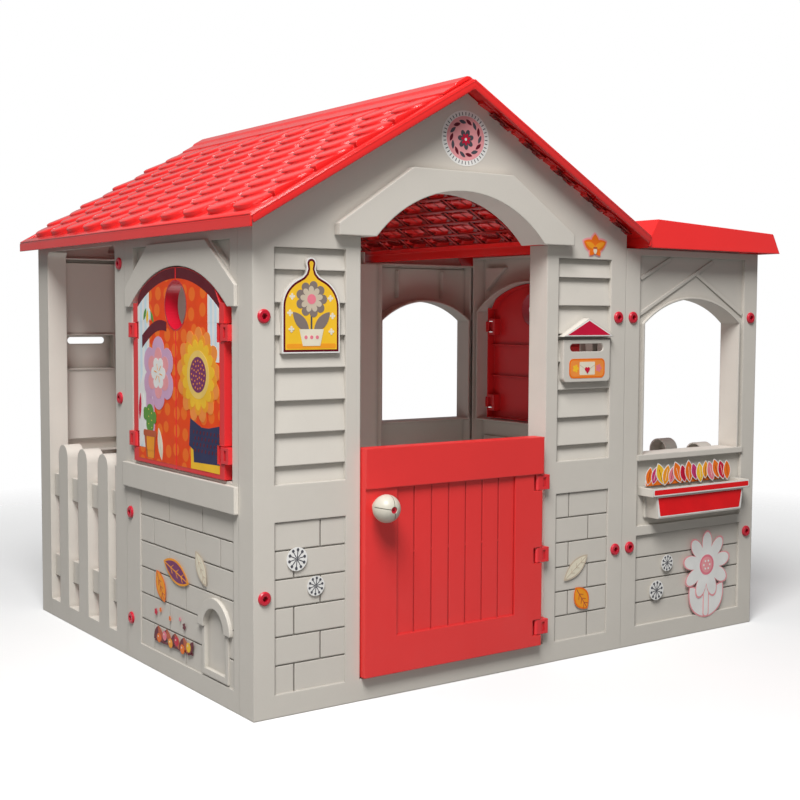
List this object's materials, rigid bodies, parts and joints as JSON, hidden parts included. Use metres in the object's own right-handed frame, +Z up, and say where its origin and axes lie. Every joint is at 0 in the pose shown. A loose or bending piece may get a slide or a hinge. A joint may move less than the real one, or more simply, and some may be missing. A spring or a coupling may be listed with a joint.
{
  "type": "children's playhouse",
  "caption": "Moulded plastic playhouse: gabled room with flat-roofed annex, half door, shuttered and open windows, picket fence openings and letterboxes.",
  "frame": {"origin": "on the floor, under the centre of the overall bounding box", "axes": "+X from the gabled room towards the annex, -Y out of the front doorway, +Z up"},
  "size_m": [1.54, 1.2931, 1.2967],
  "materials": {
    "wall_plastic": "matte moulded plastic",
    "roof_plastic": "glossy moulded plastic",
    "door_plastic": "satin moulded plastic",
    "shutter_plastic": "satin moulded plastic",
    "hinge_plastic": "satin moulded plastic",
    "screw_plastic": "satin moulded plastic",
    "knob_plastic": "satin moulded plastic"
  },
  "bodies": {
    "house": {"front_wall": "wall_plastic", "rear_wall": "wall_plastic", "annex_front_wall": "wall_plastic", "annex_rear_wall": "wall_plastic", "left_window_wall": "wall_plastic", "left_fence_wall": "wall_plastic", "right_window_wall": "wall_plastic", "right_fence_wall": "wall_plastic", "front_splice_post": "wall_plastic", "rear_splice_post": "wall_plastic", "roof_left": "roof_plastic", "roof_right": "roof_plastic", "ridge_cap": "roof_plastic", "annex_roof": "roof_plastic", "door_hinge_top": "hinge_plastic", "door_hinge_middle": "hinge_plastic", "door_hinge_bottom": "hinge_plastic", "left_hinges_front": "hinge_plastic", "left_hinges_rear": "hinge_plastic", "right_hinges_front": "hinge_plastic", "right_hinges_rear": "hinge_plastic", "front_wall_screws": "screw_plastic", "rear_wall_screws": "screw_plastic", "annex_front_screws": "screw_plastic", "annex_rear_screws": "screw_plastic", "left_seam_screws": "screw_plastic", "right_seam_screws": "screw_plastic"},
    "door": {"door": "door_plastic", "knob_outer": "knob_plastic", "knob_inner": "knob_plastic", "knob_screw": "screw_plastic"},
    "left_shutter_front": {"left_shutter_front": "shutter_plastic"},
    "left_shutter_rear": {"left_shutter_rear": "shutter_plastic"},
    "right_shutter_front": {"right_shutter_front": "shutter_plastic"},
    "right_shutter_rear": {"right_shutter_rear": "shutter_plastic"}
  },
  "joints": [
    {"name": "door_swing", "type": "hinge", "parent": "house", "child": "door", "pos_m": [-0.016, -0.579, 0.5], "axis": [0, 0, 1], "range_deg": [0, 105]},
    {"name": "left_shutter_front_swing", "type": "hinge", "parent": "house", "child": "left_shutter_front", "pos_m": [-0.739, -0.456, 0.5], "axis": [0, 0, 1], "range_deg": [0, 110]},
    {"name": "left_shutter_rear_swing", "type": "hinge", "parent": "house", "child": "left_shutter_rear", "pos_m": [-0.739, -0.036, 0.5], "axis": [0, 0, -1], "range_deg": [0, 110]},
    {"name": "right_shutter_front_swing", "type": "hinge", "parent": "house", "child": "right_shutter_front", "pos_m": [0.735, 0.062, 0.5], "axis": [0, 0, -1], "range_deg": [0, 110]},
    {"name": "right_shutter_rear_swing", "type": "hinge", "parent": "house", "child": "right_shutter_rear", "pos_m": [0.735, 0.482, 0.5], "axis": [0, 0, 1], "range_deg": [0, 110]}
  ]
}
